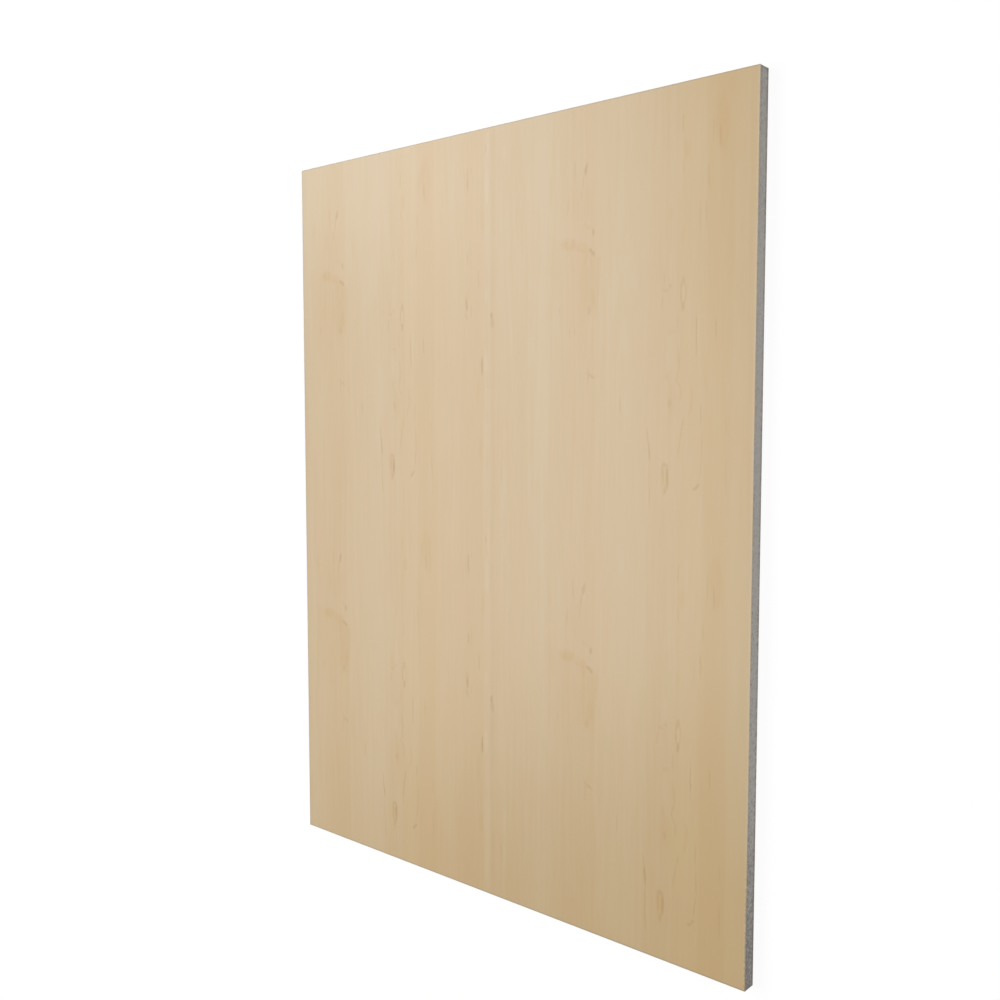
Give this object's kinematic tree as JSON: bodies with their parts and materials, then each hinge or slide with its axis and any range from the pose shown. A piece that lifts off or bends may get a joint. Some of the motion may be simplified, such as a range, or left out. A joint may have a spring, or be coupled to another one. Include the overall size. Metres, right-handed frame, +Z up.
{
  "type": "plywood sheet",
  "caption": "Flat rectangular plywood sheet with a pale maple face and plain grey edges, sawn square, its arrises lightly eased.",
  "frame": {"origin": "centre of the underside, the back of the sheet, which it lies on", "axes": "+Z up through the thickness, out of the maple face; +Y along the length and the grain; +X across the width"},
  "size_m": [0.9144, 1.2192, 0.0222],
  "materials": {
    "maple_plywood": "satin"
  },
  "bodies": {
    "root": {"plywood_sheet": "maple_plywood"}
  },
  "joints": []
}
